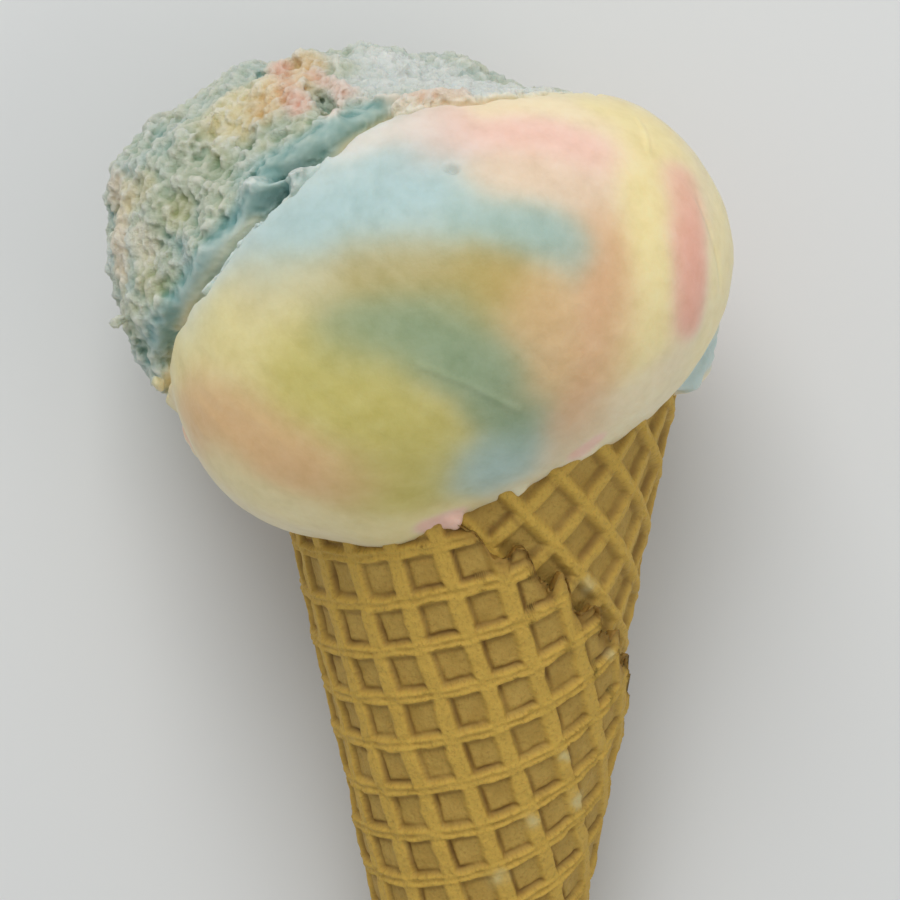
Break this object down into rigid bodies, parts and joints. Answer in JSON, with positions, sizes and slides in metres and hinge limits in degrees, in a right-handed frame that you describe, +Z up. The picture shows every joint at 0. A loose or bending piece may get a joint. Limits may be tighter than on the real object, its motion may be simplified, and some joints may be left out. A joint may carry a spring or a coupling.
{
  "type": "ice cream cone",
  "caption": "Rolled waffle sugar cone with a large smooth and crumbly scoop of swirled pastel ice cream pressed into its mouth, lying on its side.",
  "frame": {"origin": "middle of the small flat spot under the scoop, on the surface that the cone lies on", "axes": "+Z up from the surface, the side the picture shows facing up, and -Y from the scoop towards the cone's tip"},
  "size_m": [0.072, 0.1564, 0.0615],
  "materials": {
    "wafer": "baked golden wafer, dry and matte, with a square waffle relief",
    "ice_cream": "frozen dairy ice cream with swirls of light blue, yellow and pink, smooth where the scoop pressed it and crumbly where it tore"
  },
  "bodies": {
    "root": {"wafer_cone": "wafer", "ice_cream": "ice_cream"}
  },
  "joints": []
}
